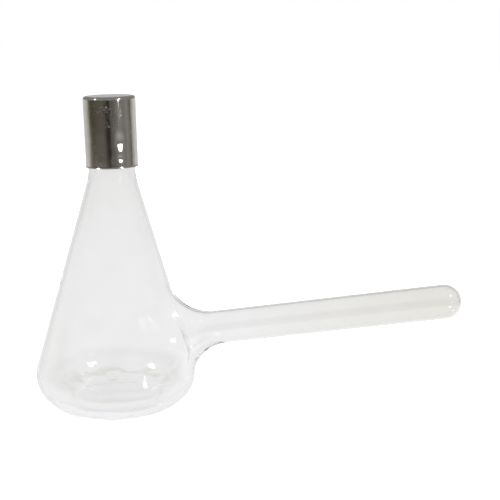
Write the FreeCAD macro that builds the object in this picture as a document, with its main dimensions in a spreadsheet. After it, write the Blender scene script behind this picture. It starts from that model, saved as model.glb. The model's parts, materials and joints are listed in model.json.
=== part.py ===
import FreeCAD, Part
import math
import os
import Sketcher

# Side-arm culture flask with a slip-on steel closure. Millimetres and degrees, +Z up.
# The origin is the centre of the base, on the plane that the flask stands on. The side arm
# points towards +X and rises as it leaves the flask. The closure stands over the neck.

# Driving dimensions: alias, value, what it measures.
DIMENSIONS = [
    ("flask_radius", 44.0, "widest outer radius, at the heel"),
    ("heel_radius", 17.0, "outer radius of the rounded heel"),
    ("cone_angle", 16.3, "lean of the wall from the vertical"),
    ("wall", 2.0, "wall of the cone and the heel"),
    ("floor_wall", 3.0, "thickness of the base"),
    ("push_up", 2.5, "rise of the underside at its centre"),
    ("ring_radius", 21.0, "inner radius of the ring that the flask stands on"),
    ("neck_radius", 12.5, "outer radius of the neck"),
    ("neck_wall", 1.6, "wall of the neck"),
    ("neck_bend", 25.0, "outer radius where the cone turns into the neck"),
    ("neck_weld", 131.5, "height of the weld between cone and neck tube"),
    ("neck_top", 168.3, "height of the neck's rim"),
    ("rim_round", 0.7, "fire-polished rounding of the rim"),
    ("arm_radius", 9.0, "outer radius of the side arm"),
    ("arm_wall", 1.1, "wall of the side arm"),
    ("arm_rise", 10.0, "angle of the side arm above the horizontal"),
    ("arm_height", 36.0, "where the arm's axis crosses the flask's axis"),
    ("arm_weld", 70.0, "weld of the side arm, along its axis from that crossing"),
    ("arm_reach", 189.5, "tip of the side arm, along its axis from that crossing"),
    ("outlet_radius", 9.2, "outer radius of the outlet that the arm is welded to"),
    ("flare_radius", 24.0, "outer radius of the flare at the root of the arm"),
    ("shell_radius", 13.9, "outer radius of the closure's shell"),
    ("shell_wall", 0.3, "sheet of the shell"),
    ("shell_corner", 1.6, "outer radius of the shell's top corner"),
    ("shell_above", 18.6, "shell's top above the grip of the fingers"),
    ("shell_below", 18.6, "shell's open edge below the grip"),
    ("grip_height", 151.0, "height of the grip above the base"),
    ("closure_lean", 1.55, "how far the closure leans away from the arm"),
    ("closure_shift", 0.3, "how far the closure sits off the neck's axis at the grip"),
    ("spring_sheet", 0.2, "sheet of the finger spring"),
    ("hub_radius", 10.0, "flat hub of the spring, welded under the shell's top"),
    ("spring_lap", 1.5, "how far each finger reaches into the hub"),
    ("finger_bend", 1.5, "outer radius of the bend from hub to finger"),
    ("finger_root", 13.38, "inner radius of a finger at its top"),
    ("finger_knee", 12.95, "inner radius of a finger at the grip"),
    ("finger_foot", 13.2, "inner radius of a finger at its tip"),
    ("finger_below", 8.0, "tip of a finger below the grip"),
    ("finger_spread", 20.0, "angle that one finger takes round the neck"),
    ("finger_count", 6, "number of fingers"),
]

START, END, CENTRE = 1, 2, 3
ROOT, X_LINE, Z_LINE = -1, -1, -2

doc = FreeCAD.newDocument("side_arm_culture_flask")


def make_sheet():
    """The spreadsheet that drives every sub-part."""
    sheet = doc.addObject("Spreadsheet::Sheet", "dims")
    for row, (alias, value, note) in enumerate(DIMENSIONS, start=1):
        sheet.set(f"A{row}", note)
        sheet.set(f"B{row}", str(value))
        sheet.setAlias(f"B{row}", alias)
    doc.recompute()
    return sheet


dims = make_sheet()


def value_of(expression):
    """What an expression over the sheet gives now."""
    return float(dims.evalExpression(expression))


def new_body(name):
    """An empty body whose Label is the sub-part's name."""
    body = doc.addObject("PartDesign::Body", name)
    body.Label = name
    return body


def new_sketch(body, name, role="XZ_Plane"):
    """A sketch on one of the body's own origin planes."""
    sketch = body.newObject("Sketcher::SketchObject", name)
    plane = next(f for f in body.Origin.OriginFeatures if f.Role == role)
    sketch.AttachmentSupport = (plane, [""])
    sketch.MapMode = "FlatFace"
    return sketch


def draw(sketch, points, arcs=None):
    """Draws a closed outline. arcs maps a side's number to the middle point of its arc."""
    arcs = arcs or {}
    corners = [FreeCAD.Vector(x, z, 0) for x, z in points]
    count = len(corners)
    for side in range(count):
        start = corners[side]
        end = corners[(side + 1) % count]
        if side in arcs:
            sketch.addGeometry(Part.Arc(start, FreeCAD.Vector(*arcs[side], 0), end))
        else:
            sketch.addGeometry(Part.LineSegment(start, end))
    for side in range(count):
        last = (side - 1) % count
        ends = (end_at(sketch, last, corners[side]), end_at(sketch, side, corners[side]))
        sketch.addConstraint(Sketcher.Constraint("Coincident", last, ends[0], side, ends[1]))


def end_at(sketch, side, corner):
    """START or END of a side, whichever lies at corner: sketch arcs all run anticlockwise."""
    return START if sketch.getPoint(side, START).distanceToPoint(corner) < 1e-6 else END


def rule(sketch, kind, *sides):
    """One rule without a size for each side, such as Vertical."""
    for side in sides:
        sketch.addConstraint(Sketcher.Constraint(kind, side))


def tie(sketch, kind, *where):
    """One rule without a size between elements of the sketch."""
    sketch.addConstraint(Sketcher.Constraint(kind, *where))


def size(sketch, name, expression, kind, *where):
    """One size of the sketch, bound to the sheet."""
    value = value_of(expression)
    if kind == "Angle":
        value = math.radians(value)
    index = sketch.addConstraint(Sketcher.Constraint(kind, *where, value))
    sketch.renameConstraint(index, name)
    sketch.setExpression(f"Constraints.{name}", expression)


def lift(sketch, height, side):
    """Sets the start of a side at a height above the origin, or at the origin's own height."""
    if value_of(height):
        size(sketch, "base", height, "DistanceY", ROOT, START, side, START)
    else:
        tie(sketch, "PointOnObject", side, START, X_LINE)


def spin(body, name, sketch, axis="V_Axis", angle=None, kind="PartDesign::Revolution"):
    """Turns a sketch round one of its axes, all the way round unless angle is given."""
    feature = body.newObject(kind, name)
    feature.Profile = sketch
    feature.ReferenceAxis = (sketch, [axis])
    feature.Angle = 360
    if angle:
        feature.setExpression("Angle", angle)
        feature.Midplane = True
    doc.recompute()
    return feature


def round_edges(body, name, feature, radius, wanted):
    """Rounds the edges of a feature for which wanted(edge) is true."""
    found = [n for n, edge in enumerate(feature.Shape.Edges, start=1) if wanted(edge)]
    fillet = body.newObject("PartDesign::Fillet", name)
    fillet.Base = (feature, [f"Edge{n}" for n in found])
    fillet.setExpression("Radius", radius)
    doc.recompute()
    return fillet


def circle_at(edge, radius, height):
    """Whether an edge is the circle round the Z axis with this radius and height."""
    if not isinstance(edge.Curve, Part.Circle):
        return False
    centre = edge.Curve.Center
    off = math.hypot(centre.x, centre.y) + abs(centre.z - height)
    return off + abs(edge.Curve.Radius - radius) < 1e-4


def is_outlet_edge(edge):
    """Whether an edge is where the outlet's tube leaves the cone."""
    box = edge.BoundBox
    return box.XMin > 15 and box.XMax < 60 and 12 < box.YLength < 22


def turned_cone(body, low, corner, neck, top):
    """The sharp-edged cone and neck, turned from an outline on the -X side.

    No seam of the turned faces crosses the outlet, which is on the +X side. low, corner, neck
    and top are expressions for the height of the base, its radius, the neck's radius and the
    height where the shape ends.
    """
    base = value_of(low)
    wide = value_of(corner)
    slim = value_of(neck)
    bend_height = base + (wide - slim) / math.tan(math.radians(value_of("dims.cone_angle")))
    sketch = new_sketch(body, body.Name + "_profile")
    head = value_of(top)
    draw(sketch, [(0, base), (-wide, base), (-slim, bend_height), (-slim, head), (0, head)])
    rule(sketch, "Horizontal", 0, 3)
    rule(sketch, "Vertical", 2, 4)
    tie(sketch, "PointOnObject", 0, START, Z_LINE)
    lift(sketch, low, 0)
    size(sketch, "corner", corner, "DistanceX", 1, START, ROOT, START)
    size(sketch, "neck", neck, "DistanceX", 2, START, ROOT, START)
    size(sketch, "top", top, "DistanceY", ROOT, START, 3, START)
    size(sketch, "lean", "90 - dims.cone_angle", "Angle", 0, END, 1, START)
    return spin(body, body.Name + "_cone", sketch), bend_height


def outlet_tube(body, bore, weld):
    """The straight start of the arm, turned round its own sloping axis.

    bore and weld are expressions for its radius and for where it ends along that axis.
    """
    rise = math.radians(value_of("dims.arm_rise"))
    along = FreeCAD.Vector(math.cos(rise), math.sin(rise), 0)
    across = FreeCAD.Vector(-math.sin(rise), math.cos(rise), 0)
    foot = FreeCAD.Vector(0, value_of("dims.arm_height"), 0)
    inner = foot + along * value_of("dims.heel_radius")
    outer = foot + along * value_of(weld)
    side = across * value_of(bore)
    sketch = new_sketch(body, body.Name + "_outlet")
    draw(sketch, [(p.x, p.y) for p in (inner, outer, outer + side, inner + side)])
    axis = sketch.addGeometry(Part.LineSegment(foot, inner), True)
    tie(sketch, "Coincident", axis, END, 0, START)
    tie(sketch, "PointOnObject", axis, START, Z_LINE)
    tie(sketch, "Parallel", axis, 0)
    tie(sketch, "Parallel", 0, 2)
    tie(sketch, "Perpendicular", 0, 1)
    tie(sketch, "Perpendicular", 0, 3)
    size(sketch, "height", "dims.arm_height", "DistanceY", ROOT, START, axis, START)
    size(sketch, "rise", "dims.arm_rise", "Angle", axis)
    size(sketch, "root", "dims.heel_radius", "Distance", axis)
    size(sketch, "weld", weld + " - dims.heel_radius", "Distance", 0)
    size(sketch, "bore", bore, "Distance", 1)
    return spin(body, body.Name + "_tube", sketch, "Axis0")


def push_up(body, low):
    """Raises the underside in an arc from the ring that the flask stands on to the centre."""
    base = value_of(low)
    reach = value_of("dims.ring_radius")
    rise = value_of("dims.push_up")
    radius = (reach ** 2 + rise ** 2) / (2 * rise)
    middle = (-reach / 2, base + rise - radius + math.sqrt(radius ** 2 - reach ** 2 / 4))
    sketch = new_sketch(body, body.Name + "_dome")
    draw(sketch, [(0, base), (0, base + rise), (-reach, base)], {1: middle})
    rule(sketch, "Vertical", 0)
    rule(sketch, "Horizontal", 2)
    tie(sketch, "PointOnObject", 0, START, Z_LINE)
    tie(sketch, "PointOnObject", 1, CENTRE, Z_LINE)
    lift(sketch, low, 0)
    size(sketch, "rise", "dims.push_up", "DistanceY", 0)
    size(sketch, "reach", "dims.ring_radius", "DistanceX", 2, START, 2, END)
    before = body.Tip.Shape.Volume
    groove = spin(body, body.Name + "_push_up", sketch, kind="PartDesign::Groove")
    if groove.Shape.Volume > before - 1:
        raise RuntimeError(body.Name + ": the push-up removed nothing")


def flask_shape(name, low, corner, heel, neck, bend, top, bore, weld, flare):
    """The outside of the flask body, or the space inside it: the same shape in two sizes.

    Every argument after name is an expression over the sheet.
    """
    body = doc.addObject("PartDesign::Body", name)
    cone, bend_height = turned_cone(body, low, corner, neck, top)
    heel_height, wide, slim = value_of(low), value_of(corner), value_of(neck)
    heeled = round_edges(body, name + "_heel", cone, heel,
                         lambda edge: circle_at(edge, wide, heel_height))
    round_edges(body, name + "_bend", heeled, bend,
                lambda edge: circle_at(edge, slim, bend_height))
    tube = outlet_tube(body, bore, weld)
    round_edges(body, name + "_flare", tube, flare, is_outlet_edge)
    push_up(body, low)
    return body


def flask_body():
    """The blown body: its outside, less the space inside it."""
    corner = ("dims.flask_radius - dims.heel_radius + dims.heel_radius"
              " * (1 + sin(dims.cone_angle * 1deg)) / cos(dims.cone_angle * 1deg)")
    inner_corner = (corner + " - dims.floor_wall * tan(dims.cone_angle * 1deg)"
                    " - dims.wall / cos(dims.cone_angle * 1deg)")
    outside = flask_shape("flask_outside", "0", corner, "dims.heel_radius",
                          "dims.neck_radius", "dims.neck_bend", "dims.neck_weld",
                          "dims.outlet_radius", "dims.arm_weld", "dims.flare_radius")
    inside = flask_shape("flask_inside", "dims.floor_wall", inner_corner,
                         "dims.heel_radius - dims.wall",
                         "dims.neck_radius - dims.neck_wall", "dims.neck_bend + dims.wall",
                         "dims.neck_weld + 1", "dims.arm_radius - dims.arm_wall",
                         "dims.arm_weld + 1", "dims.flare_radius + dims.wall")
    cut = doc.addObject("Part::Cut", "flask_body")
    cut.Label = "flask_body"
    cut.Base = outside
    cut.Tool = inside
    return cut


def neck_tube():
    """The straight neck that the closure grips, with a fire-polished rim."""
    body = new_body("neck_tube")
    low, high = value_of("dims.neck_weld"), value_of("dims.neck_top")
    wide = value_of("dims.neck_radius")
    slim = wide - value_of("dims.neck_wall")
    sketch = new_sketch(body, "neck_wall_section")
    draw(sketch, [(-wide, low), (-wide, high), (-slim, high), (-slim, low)])
    rule(sketch, "Vertical", 0, 2)
    rule(sketch, "Horizontal", 1, 3)
    size(sketch, "weld", "dims.neck_weld", "DistanceY", ROOT, START, 0, START)
    size(sketch, "rim", "dims.neck_top", "DistanceY", ROOT, START, 0, END)
    size(sketch, "outside", "dims.neck_radius", "DistanceX", 0, START, ROOT, START)
    size(sketch, "wall", "dims.neck_wall", "DistanceX", 1, START, 1, END)
    tube = spin(body, "neck_turned", sketch)
    round_edges(body, "neck_rim", tube, "dims.rim_round",
                lambda edge: circle_at(edge, wide, high) or circle_at(edge, slim, high))
    return body


def side_arm_tube():
    """The round-ended tube, modelled along X and then raised to its slope."""
    body = new_body("side_arm_tube")
    start, tip = value_of("dims.arm_weld"), value_of("dims.arm_reach")
    wide = value_of("dims.arm_radius")
    slim = wide - value_of("dims.arm_wall")
    ball = tip - wide
    half = math.sqrt(0.5)
    outer_middle = (ball + wide * half, wide * half)
    inner_middle = (ball + slim * half, slim * half)
    corners = [(start, slim), (start, wide), (ball, wide), (tip, 0), (ball + slim, 0),
               (ball, slim)]
    sketch = new_sketch(body, "arm_wall_section")
    draw(sketch, corners, {2: outer_middle, 4: inner_middle})
    rule(sketch, "Vertical", 0)
    rule(sketch, "Horizontal", 1, 5)
    tie(sketch, "PointOnObject", 3, START, X_LINE)
    tie(sketch, "PointOnObject", 3, END, X_LINE)
    tie(sketch, "PointOnObject", 2, CENTRE, X_LINE)
    tie(sketch, "Coincident", 2, CENTRE, 4, CENTRE)
    tie(sketch, "Vertical", 2, CENTRE, 1, END)
    tie(sketch, "Vertical", 2, CENTRE, 5, START)
    size(sketch, "weld", "dims.arm_weld", "DistanceX", ROOT, START, 0, START)
    size(sketch, "reach", "dims.arm_reach", "DistanceX", ROOT, START, 3, START)
    size(sketch, "outside", "dims.arm_radius", "Radius", 2)
    size(sketch, "inside", "dims.arm_radius - dims.arm_wall", "Radius", 4)
    spin(body, "arm_turned", sketch, "H_Axis")
    return place(body, "0", "dims.arm_height", "dims.arm_rise")


def closure_shell():
    """The drawn steel cup, modelled about its own axis with the grip at height 0."""
    body = new_body("closure_shell")
    wide = value_of("dims.shell_radius")
    sheet = value_of("dims.shell_wall")
    high, low = value_of("dims.shell_above"), -value_of("dims.shell_below")
    slim, under = wide - sheet, high - sheet
    sketch = new_sketch(body, "shell_section")
    draw(sketch, [(0, high), (-wide, high), (-wide, low), (-slim, low), (-slim, under),
                  (0, under)])
    rule(sketch, "Horizontal", 0, 2, 4)
    rule(sketch, "Vertical", 1, 3, 5)
    tie(sketch, "PointOnObject", 0, START, Z_LINE)
    size(sketch, "above", "dims.shell_above", "DistanceY", ROOT, START, 0, START)
    size(sketch, "below", "dims.shell_below", "DistanceY", 1, END, ROOT, START)
    size(sketch, "outside", "dims.shell_radius", "DistanceX", 1, START, ROOT, START)
    size(sketch, "sheet", "dims.shell_wall", "DistanceX", 2, START, 2, END)
    size(sketch, "top_sheet", "dims.shell_wall", "DistanceY", 5, START, 5, END)
    cup = spin(body, "shell_cup", sketch)
    outer = round_edges(body, "shell_outer_corner", cup, "dims.shell_corner",
                        lambda edge: circle_at(edge, wide, high))
    round_edges(body, "shell_inner_corner", outer, "dims.shell_corner - dims.shell_wall",
                lambda edge: circle_at(edge, slim, under))
    return place(body, "-dims.closure_shift", "dims.grip_height", "dims.closure_lean")


def finger_spring():
    """The spring under the shell's top: a flat hub with bent fingers that grip the neck."""
    body = new_body("finger_spring")
    sheet = value_of("dims.spring_sheet")
    high = value_of("dims.shell_above") - value_of("dims.shell_wall")
    low = -value_of("dims.finger_below")
    hub = value_of("dims.hub_radius")
    lap = hub - value_of("dims.spring_lap")
    root, knee, foot = (value_of("dims.finger_" + part) for part in ("root", "knee", "foot"))
    sketch = new_sketch(body, "finger_section", "YZ_Plane")
    draw(sketch, [(lap, high), (root + sheet, high), (knee + sheet, 0), (foot + sheet, low),
                  (foot, low), (knee, 0), (root, high - sheet), (lap, high - sheet)])
    rule(sketch, "Horizontal", 0, 3, 6)
    rule(sketch, "Vertical", 7)
    tie(sketch, "PointOnObject", 2, START, X_LINE)
    tie(sketch, "PointOnObject", 5, START, X_LINE)
    size(sketch, "lap", "dims.hub_radius - dims.spring_lap", "DistanceX", ROOT, START, 0, START)
    size(sketch, "high", "dims.shell_above - dims.shell_wall", "DistanceY",
         ROOT, START, 0, START)
    size(sketch, "sheet", "dims.spring_sheet", "DistanceY", 7, START, 7, END)
    size(sketch, "root", "dims.finger_root", "DistanceX", ROOT, START, 6, START)
    size(sketch, "root_sheet", "dims.finger_root + dims.spring_sheet", "DistanceX",
         ROOT, START, 1, START)
    size(sketch, "knee", "dims.finger_knee", "DistanceX", ROOT, START, 5, START)
    size(sketch, "knee_sheet", "dims.finger_knee + dims.spring_sheet", "DistanceX",
         ROOT, START, 2, START)
    size(sketch, "foot", "dims.finger_foot", "DistanceX", ROOT, START, 4, START)
    size(sketch, "foot_sheet", "dims.spring_sheet", "DistanceX", 3, END, 3, START)
    size(sketch, "below", "dims.finger_below", "DistanceY", 3, START, ROOT, START)
    strip = spin(body, "finger_strip", sketch, angle="dims.finger_spread")
    outer = round_edges(body, "finger_outer_bend", strip, "dims.finger_bend",
                        lambda edge: circle_at(edge, root + sheet, high))
    round_edges(body, "finger_inner_bend", outer, "dims.finger_bend - dims.spring_sheet",
                lambda edge: circle_at(edge, root, high - sheet))
    fingers = body.newObject("PartDesign::PolarPattern", "fingers")
    fingers.TransformMode = "Whole shape"
    fingers.Axis = (sketch, ["V_Axis"])
    fingers.Angle = 360
    fingers.setExpression("Occurrences", "dims.finger_count")
    body.Tip = fingers
    doc.recompute()
    disc = new_sketch(body, "hub_section", "YZ_Plane")
    draw(disc, [(0, high - sheet), (hub, high - sheet), (hub, high), (0, high)])
    rule(disc, "Horizontal", 0, 2)
    rule(disc, "Vertical", 1, 3)
    tie(disc, "PointOnObject", 0, START, Z_LINE)
    size(disc, "high", "dims.shell_above - dims.shell_wall", "DistanceY",
         ROOT, START, 2, START)
    size(disc, "sheet", "dims.spring_sheet", "DistanceY", 1, START, 1, END)
    size(disc, "hub", "dims.hub_radius", "DistanceX", ROOT, START, 1, START)
    spin(body, "hub", disc)
    return place(body, "-dims.closure_shift", "dims.grip_height", "dims.closure_lean")


def place(body, across, height, slope):
    """Moves a body to its x and its height and slopes it, its +X end up."""
    axis = FreeCAD.Vector(0, -1, 0)
    body.Placement = FreeCAD.Placement(FreeCAD.Vector(value_of(across), 0, value_of(height)),
                                       FreeCAD.Rotation(axis, value_of(slope)))
    body.setExpression("Placement.Base.x", across)
    body.setExpression("Placement.Base.z", height)
    body.setExpression("Placement.Rotation.Angle", slope)
    return body


def check(parts):
    """Stops if any object of the document failed, or any sub-part isn't one valid solid."""
    for item in doc.Objects:
        if {"Invalid", "Error"} & set(item.State):
            raise RuntimeError(item.Name + " failed")
    for part in parts:
        shape = part.Shape
        if shape.isNull() or not shape.isValid() or len(shape.Solids) != 1:
            raise RuntimeError(part.Label + " isn't one valid solid")


sub_parts = [flask_body(), neck_tube(), side_arm_tube(), closure_shell(), finger_spring()]
doc.recompute()
check(sub_parts)
os.makedirs("parts", exist_ok=True)
for sub_part in sub_parts:
    sub_part.Shape.exportStep(f"parts/{sub_part.Label}.step")
    print(f"{sub_part.Label}: {sub_part.Shape.Volume / 1000:.2f} cm3")
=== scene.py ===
import json
import math
from collections import namedtuple

import bmesh
import bpy
import numpy as np
from mathutils import Matrix, Vector, noise

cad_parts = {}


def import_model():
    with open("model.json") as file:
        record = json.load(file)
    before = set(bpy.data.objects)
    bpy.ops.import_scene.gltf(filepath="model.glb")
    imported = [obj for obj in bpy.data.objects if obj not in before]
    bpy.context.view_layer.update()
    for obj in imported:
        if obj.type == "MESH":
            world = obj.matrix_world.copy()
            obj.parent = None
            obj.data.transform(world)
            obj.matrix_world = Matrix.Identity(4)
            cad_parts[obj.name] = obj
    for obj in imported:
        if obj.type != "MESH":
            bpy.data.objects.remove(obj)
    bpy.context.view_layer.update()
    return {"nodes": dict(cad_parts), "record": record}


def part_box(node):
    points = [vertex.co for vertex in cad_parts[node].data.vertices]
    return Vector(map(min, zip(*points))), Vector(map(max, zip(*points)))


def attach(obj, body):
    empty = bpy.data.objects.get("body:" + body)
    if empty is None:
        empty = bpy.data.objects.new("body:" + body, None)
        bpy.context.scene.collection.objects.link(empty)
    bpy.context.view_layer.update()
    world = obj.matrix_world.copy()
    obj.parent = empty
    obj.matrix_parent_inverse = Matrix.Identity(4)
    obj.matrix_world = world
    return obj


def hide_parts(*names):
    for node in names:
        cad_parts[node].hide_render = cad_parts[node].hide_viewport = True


# A side-arm culture flask: one fused glass vessel with a polished steel closure over its neck.
# Every length is in metres, in the frame of the CAD model.

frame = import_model()
mounts = {m["name"]: m for m in frame["record"]["mounts"]}

MM = 0.001

# Sizes read from the frame.
body_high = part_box("flask_body")[1]
neck_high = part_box("neck_tube")[1]
arm_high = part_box("side_arm_tube")[1]
shell_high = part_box("closure_shell")[1]
FLASK_RADIUS = body_high.y
NECK_RADIUS = neck_high.y
NECK_TOP = neck_high.z
BORE_RADIUS = mounts["neck_bore"]["dims"]["r_mm"] * MM
ARM_RADIUS = mounts["side_arm"]["dims"]["r_mm"] * MM
ARM_AXIS = Vector(mounts["side_arm"]["axis"]).normalized()
arm_point = Vector(mounts["side_arm"]["pos_m"])
ARM_FOOT = arm_point - ARM_AXIS * (arm_point.x / ARM_AXIS.x)
ARM_REACH = (arm_high.x - ARM_RADIUS) / ARM_AXIS.x + ARM_RADIUS
SHELL_RADIUS = shell_high.y

# Sizes of the glass that no box gives.
WALL = 2.0 * MM
HEEL_RADIUS = 17 * MM
INNER_HEEL = HEEL_RADIUS - WALL
CONE_ANGLE = math.radians(16.3)
NECK_BEND = 25 * MM
FLARE_RADIUS = 24 * MM
INNER_FLARE = 24.8 * MM
FLOOR_WALL = 3.0 * MM
ARM_WALL = 1.1 * MM
PUSH_UP = 2.5 * MM
FLOOR_RISE = 2.7 * MM
FOOT_RING = 25 * MM
FOOT_ROUND = 8 * MM
RIM_ROUND = 0.7 * MM

# How the closure sits on the neck: its lean away from the arm, its middle's shift off the
# neck's axis and its middle's height.
CLOSURE_LEAN = math.radians(1.55)
CLOSURE_SHIFT = 0.3 * MM
GRIP_HEIGHT = 151 * MM

# Sizes of the closure, about its own axis with its middle at height 0.
SHELL_HALF = 18.6 * MM
SHELL_SHEET = 0.3 * MM
SHELL_CORNER = 1.6 * MM
LIP_BEND = 1.3 * MM
LIP_TURN = math.radians(35)

# The closure's wear: the height of the wall's waves, how fine they and the crumple's folds are,
# and the shares of the radius between which the wear sets in, because the top stays flat.
WALL_WAVES = 0.03 * MM
WAVE_FINENESS = 2.3
FOLD_FINENESS = 9
FLAT_TOP = 0.6
FULL_WEAR = 0.9

# Dents: the angle about the closure's axis, then height, half width, half height and depth.
Dent = namedtuple("Dent", "turn height wide tall depth")
CRUMPLE = Dent(math.radians(-87), 11.5 * MM, 4.5 * MM, 3.6 * MM, 0.26 * MM)
DENTS = [
    Dent(math.radians(-52), -4.5 * MM, 2.6 * MM, 4.2 * MM, 0.37 * MM),
    Dent(math.radians(-52.5), -13.2 * MM, 1.6 * MM, 1.8 * MM, 0.17 * MM),
]


# ---------------------------------------------------------------- outlines

# How finely each part of the vessel's outline is cut, and how finely it is searched.
PUSH_UP_STEPS = 16
FOOT_STEPS = 5
HEEL_STEPS = 24
CONE_STEPS = 54
BEND_STEPS = 8
NECK_STEPS = 16
RIM_STEPS = 6
FLOOR_STEPS = 18
GUIDE_STEPS = 4000


class Path:
    """A run of lines and arcs in the plane of radius and height, measured along its length."""

    def __init__(self, start):
        self.at = np.array(start, float)
        self.pieces = []
        self.length = 0.0
        self.marks = None

    def add(self, length, place, steps):
        """Appends one piece; place(t) gives its points for t from 0 to 1."""
        self.pieces.append((self.length, length, place, steps))
        self.length += length
        self.at = place(1.0)

    def line(self, end, steps):
        """A straight run to end, cut into steps."""
        start, end = self.at, np.array(end, float)
        length = float(np.linalg.norm(end - start))
        self.add(length, lambda t: start + (end - start) * t, steps)

    def arc(self, centre, turn, steps):
        """An arc round centre through an angle, positive anticlockwise, cut into steps."""
        centre = np.array(centre, float)
        spoke = self.at - centre

        def place(t):
            c, s = math.cos(turn * t), math.sin(turn * t)
            return centre + (c * spoke[0] - s * spoke[1], s * spoke[0] + c * spoke[1])

        self.add(float(np.hypot(*spoke)) * abs(turn), place, steps)

    def point(self, along):
        """Radius and height at a distance along the path."""
        start, length, place, steps = next(
            (p for p in self.pieces if along <= p[0] + p[1]), self.pieces[-1])
        return place(min((along - start) / length, 1.0))

    def stops(self):
        """The distance along the path of every step."""
        marks = [0.0]
        for start, length, place, steps in self.pieces:
            marks += [start + length * (n + 1) / steps for n in range(steps)]
        return marks

    def along(self, point):
        """How far along the path the nearest place to point is."""
        if self.marks is None:
            self.marks = np.linspace(0, self.length, GUIDE_STEPS)
            self.places = np.array([self.point(mark) for mark in self.marks])
        start, end = self.places[:-1], self.places[1:]
        run = end - start
        t = ((point - start) * run).sum(1) / (run * run).sum(1)
        t = t.clip(0, 1)
        gap = np.linalg.norm(start + run * t[:, None] - point, axis=1)
        best = int(gap.argmin())
        return self.marks[best] + (self.marks[best + 1] - self.marks[best]) * t[best]


class Side:
    """One surface of the wall: where its heel and cone lie, and its size at the arm."""

    def __init__(self, heel_at, heel, tube, ball):
        self.heel_at = np.array(heel_at)
        self.heel = heel
        self.tube = tube
        self.ball = ball

    def reach(self, r, z):
        """Distance from the surface outwards, and the direction that it is measured in."""
        off = np.array([r, z]) - self.heel_at
        if math.atan2(off[1], off[0]) <= CONE_ANGLE:
            size = np.hypot(*off)
            return size - self.heel, off / size
        return off @ CONE_OUT - self.heel, CONE_OUT

    def bend(self, neck, radius):
        """Height of the centre of the bend between cone and neck."""
        level = self.heel_at @ CONE_OUT + self.heel + radius
        return (level - CONE_OUT[0] * (neck + radius)) / CONE_OUT[1]


CONE_OUT = np.array([math.cos(CONE_ANGLE), math.sin(CONE_ANGLE)])
HEEL_AT = np.array([FLASK_RADIUS - HEEL_RADIUS, HEEL_RADIUS])
outside = Side(HEEL_AT, HEEL_RADIUS, ARM_RADIUS, FLARE_RADIUS)
inner_height = FLOOR_WALL + INNER_HEEL
inner_across = HEEL_AT[0] + math.tan(CONE_ANGLE) * (HEEL_AT[1] - inner_height)
inside = Side((inner_across, inner_height), INNER_HEEL, ARM_RADIUS - ARM_WALL, INNER_FLARE)


def dome_radius(across, round_size, rise):
    """Radius of the arc from the axis that touches a rounding at that distance from it."""
    return (across ** 2 + (round_size - rise) ** 2 - round_size ** 2) / (2 * rise)


def outer_outline():
    """Outside of the glass, from the centre of the underside to the top of the rim."""
    dome = dome_radius(FOOT_RING, FOOT_ROUND, PUSH_UP)
    swing = math.atan2(FOOT_RING, dome + FOOT_ROUND - PUSH_UP)
    bend_height = outside.bend(NECK_RADIUS, NECK_BEND)
    bend_at = np.array([NECK_RADIUS + NECK_BEND, bend_height])
    path = Path((0, PUSH_UP))
    path.arc((0, PUSH_UP - dome), -swing, PUSH_UP_STEPS)
    path.arc((FOOT_RING, FOOT_ROUND), swing, FOOT_STEPS)
    path.line((HEEL_AT[0], 0), 1)
    path.arc(HEEL_AT, math.pi / 2 + CONE_ANGLE, HEEL_STEPS)
    path.line(bend_at - CONE_OUT * NECK_BEND, CONE_STEPS)
    path.arc(bend_at, -CONE_ANGLE, BEND_STEPS)
    path.line((NECK_RADIUS, NECK_TOP - RIM_ROUND), NECK_STEPS)
    path.arc((NECK_RADIUS - RIM_ROUND, NECK_TOP - RIM_ROUND), math.pi / 2, RIM_STEPS)
    return path


def inner_outline():
    """Inside of the glass, from the top of the rim to the centre of the floor."""
    dome = dome_radius(inner_across, INNER_HEEL, FLOOR_RISE)
    swing = math.atan2(inner_across, dome + INNER_HEEL - FLOOR_RISE)
    bend = NECK_BEND + WALL
    bend_at = np.array([BORE_RADIUS + bend, inside.bend(BORE_RADIUS, bend)])
    heel_top = inside.heel_at + CONE_OUT * INNER_HEEL
    path = Path((NECK_RADIUS - RIM_ROUND, NECK_TOP))
    path.line((BORE_RADIUS + RIM_ROUND, NECK_TOP), 1)
    path.arc((BORE_RADIUS + RIM_ROUND, NECK_TOP - RIM_ROUND), math.pi / 2, RIM_STEPS)
    path.line((BORE_RADIUS, bend_at[1]), NECK_STEPS)
    path.arc(bend_at, CONE_ANGLE, BEND_STEPS)
    path.line(heel_top, CONE_STEPS)
    path.arc(inside.heel_at, -(math.pi / 2 + CONE_ANGLE + swing), HEEL_STEPS)
    path.arc((0, FLOOR_WALL + FLOOR_RISE - dome), swing, FLOOR_STEPS)
    return path


# ---------------------------------------------------------------- the fused vessel

# The mesh: columns round the axis, the window in them that the arm grows out of, and the rings
# that fill the window, the flare, the tube and its tip. Points nearer than the last two sizes
# count as on the axis, or as one point.
COLUMNS = 180
WINDOW_COLUMNS = 19
WINDOW_LOW = 5 * MM
WINDOW_HIGH = 82 * MM
WINDOW_RINGS = 7
FLARE_RINGS = 22
TUBE_RINGS = 60
TIP_RINGS = 14
ON_AXIS = 1e-7
SAME_PLACE = 1e-6

# The search for the flare: between these distances along the arm, halved so many times.
SEARCH_LOW = 20 * MM
SEARCH_HIGH = 150 * MM
SEARCH_STEPS = 50

# The two directions across the arm.
ARM_SIDE = Vector((0, 1, 0))
ARM_UP = ARM_SIDE.cross(ARM_AXIS) * -1

# Waves in the glass. Both surfaces have long waves, and the inner one has shorter and fine ones,
# each with a number of waves to the metre and its height as a share of the waves' height there.
LONG_WAVES = 45
LONG_SHARE = 3
SHORT_WAVES = 130
FINE_WAVES = 260
FINE_SHARE = 0.6

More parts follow.
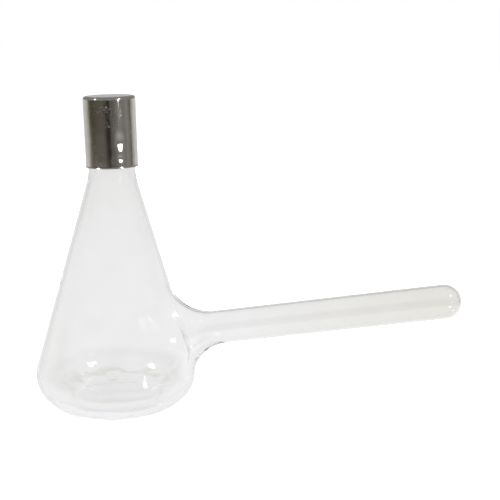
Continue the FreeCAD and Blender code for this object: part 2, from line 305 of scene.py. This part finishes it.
# The height of the waves: everywhere, more in the heel between two heights and two distances
# from the axis, and more round the outlet.
EVEN_WAVES = 0.015 * MM
HEEL_WAVES = 0.16 * MM
HEEL_HEIGHTS = (6 * MM, 16 * MM)
HEEL_ACROSS = (22 * MM, 34 * MM)
OUTLET_WAVES = 0.05 * MM
OUTLET_AT = ARM_FOOT + ARM_AXIS * 45 * MM
OUTLET_SIZE = (12 * MM, 30 * MM)

# The seal mark at the back of the base. It is raised inside, and sunk a little less outside.
SEAL_AT = Vector((-11.8, 27.7, 0)) * MM
SEAL_SIZE = 2.3 * MM
SEAL_RISE = 0.8 * MM
SEAL_UNDER = -0.7


class Shape:
    """Points and faces of a mesh that is still being put together."""

    def __init__(self):
        self.points = []
        self.faces = []

    def point(self, at):
        """Adds one point and gives its number."""
        self.points.append(tuple(at))
        return len(self.points) - 1

    def ring(self, places):
        """Adds a row of points and gives their numbers."""
        return [self.point(p) for p in places]

    def band(self, low, high):
        """Faces between two rings of the same length."""
        for n in range(len(low)):
            after = (n + 1) % len(low)
            self.faces.append((low[n], low[after], high[after], high[n]))

    def cap(self, ring, tip):
        """Faces from a ring to one point."""
        for n in range(len(ring)):
            self.faces.append((ring[n], ring[(n + 1) % len(ring)], tip))


def turned(place, angle):
    """A point of a turned surface, from its radius and height and its angle about the axis."""
    return Vector((place[0] * math.cos(angle), place[0] * math.sin(angle), place[1]))


def column_angle(column):
    """The angle of a column. Column 0 faces the arm."""
    return 2 * math.pi * column / COLUMNS


Touch = namedtuple("Touch", "centre at foot turn reach out")


def flare_touch(side, phi):
    """The ball that touches both tube and cone at an angle phi about the arm.

    The result has the ball's centre and at, the point where it touches the cone. foot is that
    point's radius and height, and turn its angle about the flask's axis. reach is the centre's
    distance along the arm, and out its direction from the arm's axis."""
    out = ARM_SIDE * math.cos(phi) + ARM_UP * math.sin(phi)
    low, high = SEARCH_LOW, SEARCH_HIGH
    for step in range(SEARCH_STEPS):
        reach = (low + high) / 2
        centre = ARM_FOOT + ARM_AXIS * reach + out * (side.tube + side.ball)
        gap, normal = side.reach(math.hypot(centre.x, centre.y), centre.z)
        if gap < side.ball:
            low = reach
        else:
            high = reach
    foot = np.array([math.hypot(centre.x, centre.y), centre.z]) - normal * side.ball
    turn = math.atan2(centre.y, centre.x)
    return Touch(centre, turned(foot, turn), foot, turn, reach, out)


def flare_point(side, touch, share):
    """A point of the flare, from the cone at share 0 to the tube at share 1."""
    start, end = touch.at - touch.centre, -touch.out * side.ball
    return touch.centre + start.slerp(end, share).normalized() * side.ball


def turned_row(shape, place, has_window):
    """The points round the axis at one place of the outline, or the single point on the axis."""
    if place[0] < ON_AXIS:
        return shape.point((0, 0, place[1]))
    left_out = range(-WINDOW_COLUMNS + 1, WINDOW_COLUMNS) if has_window else ()
    return {c: shape.point(turned(place, column_angle(c)))
            for c in range(-COLUMNS // 2, COLUMNS // 2) if c not in left_out}


def join_rows(shape, low, high, has_window):
    """Faces between two rows, apart from those in the window."""
    if isinstance(low, int) or isinstance(high, int):
        row, tip = (high, low) if isinstance(low, int) else (low, high)
        shape.cap([row[c] for c in sorted(row)], tip)
        return
    for c in range(-COLUMNS // 2, COLUMNS // 2):
        after = c + 1 if c + 1 < COLUMNS // 2 else -COLUMNS // 2
        if not (has_window and -WINDOW_COLUMNS <= c < WINDOW_COLUMNS):
            shape.faces.append((low[c], low[after], high[after], high[c]))


def build_side(shape, path, side):
    """One surface of the glass: turned about the flask's axis, with the arm grown out of it."""
    marks = path.stops()
    places = [path.point(mark) for mark in marks]
    in_window = [r for r, place in enumerate(places)
                 if WINDOW_LOW < place[1] < WINDOW_HIGH and place[0] > side.heel_at[0] / 2]
    first, last = min(in_window), max(in_window)
    rows = [turned_row(shape, place, first < r < last) for r, place in enumerate(places)]
    for r in range(len(rows) - 1):
        join_rows(shape, rows[r], rows[r + 1], first <= r < last)
    edge = window_edge(first, last)
    grow_arm(shape, path, side, [rows[r][c] for r, c in edge],
             [(marks[r], column_angle(c)) for r, c in edge])


def grow_arm(shape, path, side, edge, spots):
    """Flare, tube and round tip, grown from the window's edge.

    spots has the place of every edge point: its distance along the path and its angle."""
    touches = []
    for mark, angle in spots:
        off = turned(path.point(mark), angle) - ARM_FOOT
        touches.append(flare_touch(side, math.atan2(off.dot(ARM_UP), off.dot(ARM_SIDE))))
    ends = [path.along(touch.foot) for touch in touches]
    rings = [edge]
    for n in range(1, WINDOW_RINGS):
        share = n / WINDOW_RINGS
        rings.append(shape.ring([
            turned(path.point(mark + (end - mark) * share), angle + (touch.turn - angle) * share)
            for (mark, angle), end, touch in zip(spots, ends, touches)]))
    rings.append(shape.ring([touch.at for touch in touches]))
    for n in range(1, FLARE_RINGS + 1):
        rings.append(shape.ring([flare_point(side, t, n / FLARE_RINGS) for t in touches]))
    ball_at = ARM_REACH - ARM_RADIUS
    for n in range(1, TUBE_RINGS + 1):
        share = n / TUBE_RINGS
        rings.append(shape.ring([ARM_FOOT + ARM_AXIS * (t.reach + (ball_at - t.reach) * share)
                                 + t.out * side.tube for t in touches]))
    for n in range(1, TIP_RINGS):
        lean = math.pi / 2 * n / TIP_RINGS
        centre = ARM_FOOT + ARM_AXIS * (ball_at + side.tube * math.sin(lean))
        rings.append(shape.ring([centre + t.out * side.tube * math.cos(lean) for t in touches]))
    for low, high in zip(rings, rings[1:]):
        shape.band(low, high)
    shape.cap(rings[-1], shape.point(ARM_FOOT + ARM_AXIS * (ball_at + side.tube)))


def window_edge(first, last):
    """Row and column of every point round the window that the arm grows out of."""
    side = WINDOW_COLUMNS
    edge = [(first, c) for c in range(-side, side)]
    edge += [(r, side) for r in range(first, last)]
    edge += [(last, c) for c in range(side, -side, -1)]
    edge += [(r, -side) for r in range(last, first, -1)]
    return edge


def make_object(name, shape, **flags):
    """Links a new mesh object, with its normals outwards, smooth shading and point flags."""
    mesh = bpy.data.meshes.new(name)
    mesh.from_pydata(shape.points, [], shape.faces)
    for flag, values in flags.items():
        mesh.attributes.new(flag, "BOOLEAN", "POINT").data.foreach_set("value", values)
    work = bmesh.new()
    work.from_mesh(mesh)
    bmesh.ops.remove_doubles(work, verts=work.verts, dist=SAME_PLACE)
    bmesh.ops.recalc_face_normals(work, faces=work.faces)
    work.to_mesh(mesh)
    work.free()
    mesh.polygons.foreach_set("use_smooth", [True] * len(mesh.polygons))
    mesh.validate()
    piece = bpy.data.objects.new(name, mesh)
    bpy.context.scene.collection.objects.link(piece)
    return piece


def swell(value, low, high):
    """0 below low and 1 above high, smooth between."""
    t = min(max((value - low) / (high - low), 0.0), 1.0)
    return t * t * (3 - 2 * t)


def inner_waves(at):
    """How uneven the inner surface is at a point: most in the heel and round the outlet."""
    across = math.hypot(at.x, at.y)
    heel = (1 - swell(at.z, *HEEL_HEIGHTS)) * swell(across, *HEEL_ACROSS)
    outlet = 1 - swell((at - OUTLET_AT).length, *OUTLET_SIZE)
    return EVEN_WAVES + HEEL_WAVES * heel + OUTLET_WAVES * outlet


def hand_blown(vessel):
    """Gives both surfaces the slight waves of blown glass, and the base its seal mark."""
    inner = [flag.value for flag in vessel.data.attributes["inner"].data]
    normals = [vertex.normal.copy() for vertex in vessel.data.vertices]
    for vertex, normal, is_inner in zip(vessel.data.vertices, normals, inner):
        at = vertex.co.copy()
        drift = noise.noise(at * LONG_WAVES) * LONG_SHARE * EVEN_WAVES
        if is_inner:
            wave = noise.noise(at * SHORT_WAVES) + FINE_SHARE * noise.noise(at * FINE_WAVES)
            drift += wave * inner_waves(at)
        off = math.hypot(at.x - SEAL_AT.x, at.y - SEAL_AT.y) / SEAL_SIZE
        if at.z < HEEL_RADIUS:
            drift += SEAL_RISE * math.exp(-off * off) * (1 if is_inner else SEAL_UNDER)
        vertex.co = at + normal * drift


def fused_vessel():
    """Outer and inner surface of the glass, joined over the rim into one closed wall."""
    shape = Shape()
    build_side(shape, outer_outline(), outside)
    outer_count = len(shape.points)
    build_side(shape, inner_outline(), inside)
    flags = [n >= outer_count for n in range(len(shape.points))]
    vessel = make_object("fused_glass", shape, inner=flags)
    hand_blown(vessel)
    return vessel


# ---------------------------------------------------------------- the closure

# How finely the closure is cut: round its axis, then along its outline from the top's middle
# down the outside, round the lip and up the inside.
SHELL_COLUMNS = 240
TOP_STEPS = 12
CORNER_STEPS = 10
WALL_STEPS = 64
LIP_STEPS = 6
INNER_WALL_STEPS = 32
INNER_CORNER_STEPS = 6
UNDER_STEPS = 8


def turned_piece(name, path, columns, shift):
    """A closed piece turned about Z from an outline that starts and ends on the axis.

    shift(radius, angle, height) gives the radius and height that a point is moved to."""
    shape = Shape()
    rings = []
    for mark in path.stops():
        place = path.point(mark)
        if place[0] < ON_AXIS:
            rings.append(shape.point((0, 0, place[1])))
            continue
        angles = [2 * math.pi * c / columns for c in range(columns)]
        rings.append(shape.ring([turned(shift(place[0], a, place[1]), a) for a in angles]))
    for low, high in zip(rings, rings[1:]):
        if isinstance(low, int):
            shape.cap(high, low)
        elif isinstance(high, int):
            shape.cap(low, high)
        else:
            shape.band(low, high)
    return make_object(name, shape)


def dent_depth(dent, angle, z):
    """How far a dent pushes the wall in at an angle and height."""
    off = (angle - dent.turn + math.pi) % (2 * math.pi) - math.pi
    across = off * SHELL_RADIUS / dent.wide
    up = (z - dent.height) / dent.tall
    return dent.depth * math.exp(-across ** 2 - up ** 2)


def handled(r, angle, z):
    """A point of the cup's wall after years of use: gentle waves, dents and a crumpled corner."""
    around = Vector((math.cos(angle), math.sin(angle), z / SHELL_RADIUS))
    side = swell(r, SHELL_RADIUS * FLAT_TOP, SHELL_RADIUS * FULL_WEAR)
    push = (noise.noise(around * WAVE_FINENESS) - 1) * WALL_WAVES
    for dent in DENTS:
        push -= dent_depth(dent, angle, z)
    push -= dent_depth(CRUMPLE, angle, z) * abs(noise.noise(around * FOLD_FINENESS))
    return r + push * side, z


def closure_shell():
    """The drawn cup, open below, its lip turned out a little."""
    wide, slim = SHELL_RADIUS, SHELL_RADIUS - SHELL_SHEET
    top, low = SHELL_HALF, -SHELL_HALF
    under = top - SHELL_SHEET
    corner, hem = SHELL_CORNER, SHELL_SHEET / 2
    spoke = np.array([-math.cos(LIP_TURN), -math.sin(LIP_TURN)])
    lip_start = low + hem - spoke[1] * (LIP_BEND + hem)
    bend_at = np.array([wide + LIP_BEND, lip_start])
    path = Path((0, top))
    path.line((wide - corner, top), TOP_STEPS)
    path.arc((wide - corner, top - corner), -math.pi / 2, CORNER_STEPS)
    path.line((wide, lip_start), WALL_STEPS)
    path.arc(bend_at, LIP_TURN, LIP_STEPS)
    path.arc(bend_at + spoke * (LIP_BEND + hem), -math.pi, LIP_STEPS)
    path.arc(bend_at, -LIP_TURN, LIP_STEPS)
    path.line((slim, under - corner + SHELL_SHEET), INNER_WALL_STEPS)
    path.arc((wide - corner, top - corner), math.pi / 2, INNER_CORNER_STEPS)
    path.line((0, under), UNDER_STEPS)
    piece = turned_piece("steel_shell", path, SHELL_COLUMNS, handled)
    piece.matrix_world = (Matrix.Translation((-CLOSURE_SHIFT, 0, GRIP_HEIGHT))
                          @ Matrix.Rotation(-CLOSURE_LEAN, 4, "Y"))
    return piece


# ---------------------------------------------------------------- shader nodes


def four(value):
    """A grey level or a colour, as a colour with its alpha."""
    return (value,) * 3 + (1,) if isinstance(value, (int, float)) else tuple(value) + (1,)


def calc(tree, operation, *values):
    """A Math node whose inputs are sockets or numbers."""
    node = tree.nodes.new("ShaderNodeMath")
    node.operation = operation
    for socket, value in zip(node.inputs, values):
        if isinstance(value, (int, float)):
            socket.default_value = value
        else:
            tree.links.new(value, socket)
    return node.outputs[0]


def blend(tree, factor, low, high, mode="MIX"):
    """low where factor is 0 and high where it is 1. Each is a socket, a colour or a grey level."""
    node = tree.nodes.new("ShaderNodeMix")
    node.data_type = "RGBA"
    node.blend_type = mode
    tree.links.new(factor, node.inputs[0])
    for socket, value in zip(node.inputs[6:8], (low, high)):
        if isinstance(value, bpy.types.NodeSocket):
            tree.links.new(value, socket)
        else:
            socket.default_value = four(value)
    return node.outputs[2]


def spread(tree, value, low, high, start=0.0, end=1.0):
    """Value from low to high, drawn out to run from start to end."""
    node = tree.nodes.new("ShaderNodeMapRange")
    for socket, number in zip(node.inputs[1:5], (low, high, start, end)):
        socket.default_value = number
    tree.links.new(value, node.inputs[0])
    return node.outputs[0]


def ramp(tree, value, stops):
    """A ColorRamp over value, from pairs of position and colour or grey level."""
    node = tree.nodes.new("ShaderNodeValToRGB")
    node.color_ramp.interpolation = "EASE"
    marks = node.color_ramp.elements
    while len(marks) < len(stops):
        marks.new(0.5)
    for mark, (place, level) in zip(marks, stops):
        mark.position = place
        mark.color = four(level)
    tree.links.new(value, node.inputs[0])
    return node.outputs[0]


def hump(tree, value, middle, half):
    """1 at the middle, falling smoothly to 0 at half a width away."""
    off = calc(tree, "DIVIDE", calc(tree, "SUBTRACT", value, middle), half)
    rest = calc(tree, "SUBTRACT", 1.0, calc(tree, "MULTIPLY", off, off))
    return calc(tree, "POWER", calc(tree, "MAXIMUM", rest, 0.0), HUMP_POWER)


def cloud(tree, where, grain):
    """Noise over the piece's own coordinates, from 0 to 1."""
    move = tree.nodes.new("ShaderNodeMapping")
    move.inputs["Scale"].default_value = grain.stretch
    tree.links.new(where, move.inputs["Vector"])
    node = tree.nodes.new("ShaderNodeTexNoise")
    node.inputs["Scale"].default_value = grain.scale
    node.inputs["Detail"].default_value = grain.detail
    tree.links.new(move.outputs[0], node.inputs["Vector"])
    return node.outputs[0]


def bump(tree, height, distance, shader):
    """Relief in the shading, from a height between 0 and 1 and the metres that it stands for."""
    node = tree.nodes.new("ShaderNodeBump")
    node.inputs["Distance"].default_value = distance
    tree.links.new(height, node.inputs["Height"])
    tree.links.new(node.outputs[0], shader.inputs["Normal"])


# ---------------------------------------------------------------- materials

# Noise for the materials: its scale, its detail and its stretch along X, Y and Z. A span gives
# the noise levels between which a pattern goes from none to full.
Grain = namedtuple("Grain", "scale detail stretch")
EVENLY = (1, 1, 1)
FILM_GRAIN = Grain(60, 4, EVENLY)
FILM_SPAN = (0.35, 0.65)
RIPPLE_GRAIN = Grain(40, 1, EVENLY)
MARK_GRAIN = Grain(260, 5, EVENLY)
MARK_SPAN = (0.35, 0.7)
PATCH_GRAIN = Grain(90, 3, EVENLY)
PATCH_SPAN = (0.42, 0.62)
SCRATCH_GRAIN = Grain(420, 3, (1, 1, 0.25))
SCRATCH_SPAN = (0.55, 0.62)
STREAK_GRAIN = Grain(900, 2, (1, 1, 0.03))

# The glass: what it absorbs, its ripple's height, and how much light each surface lets through,
# for red, green and blue. Its colour darkens towards the arm's tip over a span of X, and towards
# the neck over a span of Z.
GLASS_IOR = 1.474
GLASS_DEPTH = (0.30, 0.36, 0.33, 1)
GLASS_DENSITY = 1.5
GLASS_RIPPLE = 0.05 * MM
FILM_THIN = (1.0, 1.0, 1.0)
FILM_THICK = (0.985, 0.985, 0.985)
TIP_TINT = (0.950, 0.940, 0.912)
TIP_SPAN = (70 * MM, 190 * MM)
NECK_TINT = (0.957, 0.957, 0.952)
NECK_SPAN = (85 * MM, 140 * MM)

# The steels: colours, roughness where clean and where worn, and the depth of the streaks as a
# share of the relief. The scratches have a share of their own.
Steel = namedtuple("Steel", "name dark light smooth rough streaks")
POLISHED = Steel("polished_steel", (0.59, 0.57, 0.54), (0.66, 0.64, 0.61), 0.06, 0.13, 0.6)
SATIN = Steel("spring_steel", (0.46, 0.45, 0.43), (0.58, 0.57, 0.55), 0.22, 0.40, 1.0)
STEEL_RELIEF = 0.06 * MM
SCRATCH_DEPTH = 0.6


def new_material(name):
    """A material, its node tree and its Principled shader."""
    material = bpy.data.materials.new(name)
    material.use_nodes = True
    tree = material.node_tree
    shader = next(n for n in tree.nodes if n.type == "BSDF_PRINCIPLED")
    return material, tree, shader


def glass_material():
    """Clear borosilicate glass with a faint uneven film, its colour darker towards the arm's tip
    and the neck.
    """
    material, tree, shader = new_material("clear_glass")
    shader.inputs["Transmission Weight"].default_value = 1.0
    shader.inputs["Roughness"].default_value = 0.0
    shader.inputs["IOR"].default_value = GLASS_IOR
    where = tree.nodes.new("ShaderNodeTexCoord").outputs["Object"]
    place = tree.nodes.new("ShaderNodeSeparateXYZ")
    tree.links.new(where, place.inputs[0])
    tip = spread(tree, place.outputs[0], *TIP_SPAN)
    neck = spread(tree, place.outputs[2], *NECK_SPAN)
    film = spread(tree, cloud(tree, where, FILM_GRAIN), *FILM_SPAN)
    colour = blend(tree, film, FILM_THIN, FILM_THICK)
    # The colour is made darker towards the neck and towards the arm's tip.
    colour = blend(tree, neck, colour, NECK_TINT, "MULTIPLY")
    colour = blend(tree, tip, colour, TIP_TINT, "MULTIPLY")
    tree.links.new(colour, shader.inputs["Base Color"])
    bump(tree, cloud(tree, where, RIPPLE_GRAIN), GLASS_RIPPLE, shader)
    depth = tree.nodes.new("ShaderNodeVolumeAbsorption")
    depth.inputs["Color"].default_value = GLASS_DEPTH
    depth.inputs["Density"].default_value = GLASS_DENSITY
    output = next(n for n in tree.nodes if n.type == "OUTPUT_MATERIAL")
    tree.links.new(depth.outputs[0], output.inputs["Volume"])
    return material


def steel_material(steel):
    """Steel with cloudy handling marks, short scratches and fine streaks along Z."""
    material, tree, shader = new_material(steel.name)
    shader.inputs["Metallic"].default_value = 1.0
    where = tree.nodes.new("ShaderNodeTexCoord").outputs["Object"]
    marks = spread(tree, cloud(tree, where, MARK_GRAIN), *MARK_SPAN)
    patches = spread(tree, cloud(tree, where, PATCH_GRAIN), *PATCH_SPAN)
    scratches = spread(tree, cloud(tree, where, SCRATCH_GRAIN), *SCRATCH_SPAN)
    worn = calc(tree, "MULTIPLY", scratches, patches)
    wear = calc(tree, "MULTIPLY", calc(tree, "ADD", marks, worn), 0.5)
    streaks = calc(tree, "MULTIPLY", cloud(tree, where, STREAK_GRAIN), steel.streaks)
    relief = calc(tree, "ADD", streaks, calc(tree, "MULTIPLY", worn, SCRATCH_DEPTH))
    roughness = spread(tree, wear, 0.0, 1.0, steel.smooth, steel.rough)
    tree.links.new(blend(tree, marks, steel.light, steel.dark), shader.inputs["Base Color"])
    tree.links.new(roughness, shader.inputs["Roughness"])
    bump(tree, relief, STEEL_RELIEF, shader)
    return material


# ---------------------------------------------------------------- stage

# The floor: it lies a hair below the base ring, and glows so that it shows as white.
FLOOR_RADIUS = 6.0
FLOOR_CORNERS = 96
FLOOR_GAP = 0.1 * MM
FLOOR_GREY = (0.5, 0.5, 0.5, 1)
FLOOR_GLOW = 0.75

# The camera: its azimuth, its distance from the flask's axis, its height and how it is turned.
CAMERA_AZIMUTH = math.radians(18.06)
CAMERA_DISTANCE = 0.55
CAMERA_HEIGHT = 0.2113
CAMERA_SWING = math.radians(-7.75)
CAMERA_DIP = math.radians(12.87)
CAMERA_ROLL = math.radians(0.41)
CAMERA_LENS = 73.93
SENSOR_WIDTH = 36

# Lamps: azimuth from the camera's own and height, in degrees; distance and size in metres; power
# in watts. Only a mirrored one shows in glass and steel. All stand round one point and face
# another.
Lamp = namedtuple("Lamp", "name azimuth height distance size power mirrored")
LAMPS = [
    Lamp("fill_right", 52, 44, 1.9, 0.40, 40, False),
    Lamp("fill_left", -78, 44, 1.9, 0.40, 32, False),
    Lamp("lamp_right", 47, 38, 1.3, 0.05, 18, True),
    Lamp("lamp_left", -72, 38, 1.3, 0.07, 18, True),
    Lamp("lamp_low", 40, 4, 1.3, 0.15, 0.25, True),
]
LAMPS_ROUND = Vector((0, 0, 0.1))
LAMP_TARGET = Vector((0.02, 0, 0.08))

# What the steel mirrors round the studio: 0 and 1 lie behind the flask, 0.5 at the camera.
STUDIO_RING = [
    (0.00, 0.78),
    (0.14, 0.70),
    (0.19, (0.53, 0.51, 0.46)),
    (0.225, (0.19, 0.18, 0.15)),
    (0.26, (0.09, 0.08, 0.055)),
    (0.41, (0.13, 0.12, 0.095)),
    (0.48, (0.035, 0.03, 0.025)),
    (0.53, (0.14, 0.13, 0.12)),
    (0.62, (0.28, 0.27, 0.26)),
    (0.68, (0.24, 0.23, 0.22)),
    (0.71, (0.30, 0.29, 0.28)),
    (0.775, (0.19, 0.18, 0.155)),
    (0.815, (0.50, 0.50, 0.47)),
    (0.86, 0.77),
]

# Parts of the studio by level, from 0 straight below to 1 straight above, and their light.
UNDERFOOT = [(0.30, 1.0), (0.45, 0.0)]
FLOOR_LIGHT = 0.9
JUST_ABOVE = [(0.50, 0.0), (0.56, 1.0)]
SKY_LIGHT = 0.28
OVERHEAD = [(0.60, 0.0), (0.75, 1.0)]
SKY_IN_GLASS = 0.5

# What shows through the glass: pale light, greyer overhead and far below, with the soft dark
# edge of something far behind the flask. The edge lies at a slope below the horizon and a turn
# to the right of the flask, and has half a height and half a reach.
BEHIND_LIGHT = 0.91
SKY_BEHIND = 0.4
BENEATH = [(0.12, 1.0), (0.27, 0.0)]
BENEATH_LIGHT = 0.72
EDGE_SLOPE = -0.398
EDGE_TURN = 0.0
EDGE_HALF = 0.025
EDGE_REACH = 0.11
EDGE_LIGHT = (0.79, 0.795, 0.755)
HUMP_POWER = 1.5

# Light that has been mirrored more than once, and how often light may turn in the glass wall.
CAUGHT_LIGHT = 0.9
LIGHT_BOUNCES = 400


def floor():
    """A plain white floor. Rays inside the glass and off the steel see the studio instead."""
    mesh = bpy.data.meshes.new("floor")
    work = bmesh.new()
    bmesh.ops.create_circle(work, cap_ends=True, radius=FLOOR_RADIUS, segments=FLOOR_CORNERS)
    work.to_mesh(mesh)
    work.free()
    piece = bpy.data.objects.new("floor", mesh)
    piece.location.z = -FLOOR_GAP
    piece.visible_glossy = False
    piece.visible_transmission = False
    bpy.context.scene.collection.objects.link(piece)
    material, tree, shader = new_material("white_floor")
    shader.inputs["Base Color"].default_value = FLOOR_GREY
    shader.inputs["Roughness"].default_value = 1.0
    shader.inputs["Specular IOR Level"].default_value = 0.0
    shader.inputs["Emission Color"].default_value = (1, 1, 1, 1)
    shader.inputs["Emission Strength"].default_value = FLOOR_GLOW
    mesh.materials.append(material)


def softbox(lamp):
    """A round lamp that faces the flask."""
    data = bpy.data.lights.new(lamp.name, "AREA")
    data.shape = "DISK"
    data.size = lamp.size
    data.energy = lamp.power
    item = bpy.data.objects.new(lamp.name, data)
    turn = CAMERA_AZIMUTH + math.radians(lamp.azimuth)
    rise = math.radians(lamp.height)
    flat = lamp.distance * math.cos(rise)
    place = LAMPS_ROUND + Vector((flat * math.sin(turn), -flat * math.cos(turn),
                                  lamp.distance * math.sin(rise)))
    item.location = place
    item.rotation_euler = (LAMP_TARGET - place).to_track_quat("-Z", "Y").to_euler()
    item.visible_camera = False
    item.visible_glossy = lamp.mirrored
    bpy.context.scene.collection.objects.link(item)


def direction(tree):
    """A ray's run to the right of the camera's azimuth, its share of a turn and its height."""
    where = tree.nodes.new("ShaderNodeTexCoord")
    split = tree.nodes.new("ShaderNodeSeparateXYZ")
    tree.links.new(where.outputs["Generated"], split.inputs[0])
    x, y, z = split.outputs
    ahead, aside = math.sin(CAMERA_AZIMUTH), math.cos(CAMERA_AZIMUTH)
    facing = calc(tree, "ADD", calc(tree, "MULTIPLY", x, ahead), calc(tree, "MULTIPLY", y, -aside))
    right = calc(tree, "ADD", calc(tree, "MULTIPLY", x, aside), calc(tree, "MULTIPLY", y, ahead))
    turn = calc(tree, "ARCTAN2", right, facing)
    share = calc(tree, "ADD", calc(tree, "DIVIDE", turn, 2 * math.pi), 0.5)
    return right, share, z


def mirrored_light(tree, share, level, in_glass):
    """What steel and glass mirror: the ring round the studio, its floor and its dark top."""
    around = ramp(tree, share, STUDIO_RING)
    low = blend(tree, ramp(tree, level, UNDERFOOT), around, FLOOR_LIGHT)
    outside_glass = blend(tree, ramp(tree, level, JUST_ABOVE), low, SKY_LIGHT)
    inside_glass = blend(tree, ramp(tree, level, OVERHEAD), low, SKY_IN_GLASS)
    return blend(tree, in_glass, outside_glass, inside_glass)


def light_behind(tree, right, level, height):
    """What shows through the glass: pale light with one soft dark edge in it."""
    edge = calc(tree, "MULTIPLY", hump(tree, height, EDGE_SLOPE, EDGE_HALF),
                hump(tree, right, EDGE_TURN, EDGE_REACH))
    behind = blend(tree, edge, BEHIND_LIGHT, EDGE_LIGHT)
    behind = blend(tree, ramp(tree, level, OVERHEAD), behind, SKY_BEHIND)
    return blend(tree, ramp(tree, level, BENEATH), behind, BENEATH_LIGHT)


def world():
    """A studio that is white to the camera, and has its own light in mirrors and through glass."""
    scene = bpy.context.scene
    scene.world = bpy.data.worlds.new("studio")
    scene.world.use_nodes = True
    tree = scene.world.node_tree
    right, share, height = direction(tree)
    level = calc(tree, "ADD", calc(tree, "MULTIPLY", height, 0.5), 0.5)
    path = tree.nodes.new("ShaderNodeLightPath")
    in_glass = calc(tree, "MINIMUM", path.outputs["Transmission Depth"], 1.0)
    mirrors = path.outputs["Glossy Depth"]
    once = calc(tree, "MINIMUM", mirrors, 1.0)
    more = calc(tree, "MAXIMUM", calc(tree, "SUBTRACT", mirrors, 1.0), 0.0)
    caught = calc(tree, "MINIMUM", more, 1.0)
    seen = blend(tree, once, light_behind(tree, right, level, height),
                 mirrored_light(tree, share, level, in_glass))
    seen = blend(tree, caught, seen, CAUGHT_LIGHT)
    seen = blend(tree, path.outputs["Is Camera Ray"], seen, 1.0)
    tree.links.new(seen, tree.nodes["Background"].inputs["Color"])


def camera():
    """The camera at the photograph's point of view."""
    heading = CAMERA_AZIMUTH + CAMERA_SWING
    ahead = Vector((-math.sin(heading) * math.cos(CAMERA_DIP),
                    math.cos(heading) * math.cos(CAMERA_DIP),
                    -math.sin(CAMERA_DIP)))
    right = Vector((math.cos(heading), math.sin(heading), 0))
    up = right.cross(ahead)
    rolled_right = right * math.cos(CAMERA_ROLL) + up * math.sin(CAMERA_ROLL)
    rolled_up = up * math.cos(CAMERA_ROLL) - right * math.sin(CAMERA_ROLL)
    turn = Matrix((rolled_right, rolled_up, -ahead)).transposed().to_4x4()
    place = Vector((CAMERA_DISTANCE * math.sin(CAMERA_AZIMUTH),
                    -CAMERA_DISTANCE * math.cos(CAMERA_AZIMUTH),
                    CAMERA_HEIGHT))
    data = bpy.data.cameras.new("camera")
    data.lens = CAMERA_LENS
    data.sensor_width = SENSOR_WIDTH
    item = bpy.data.objects.new("camera", data)
    item.matrix_world = Matrix.Translation(place) @ turn
    bpy.context.scene.collection.objects.link(item)
    bpy.context.scene.camera = item


def light_paths():
    """Lets light that is caught inside the glass wall run on until it leaves again."""
    cycles = bpy.context.scene.cycles
    cycles.max_bounces = LIGHT_BOUNCES
    cycles.glossy_bounces = LIGHT_BOUNCES
    cycles.transmission_bounces = LIGHT_BOUNCES


# ---------------------------------------------------------------- assembly

camera()
floor()
world()
for lamp in LAMPS:
    softbox(lamp)
bpy.context.scene.view_settings.view_transform = "Standard"
light_paths()

glass = fused_vessel()
glass.data.materials.append(glass_material())
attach(glass, "flask")
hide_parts("flask_body", "neck_tube", "side_arm_tube")

shell = closure_shell()
shell.data.materials.append(steel_material(POLISHED))
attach(shell, "closure")
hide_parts("closure_shell")

spring = frame["nodes"]["finger_spring"]
spring.data.materials.clear()
spring.data.materials.append(steel_material(SATIN))
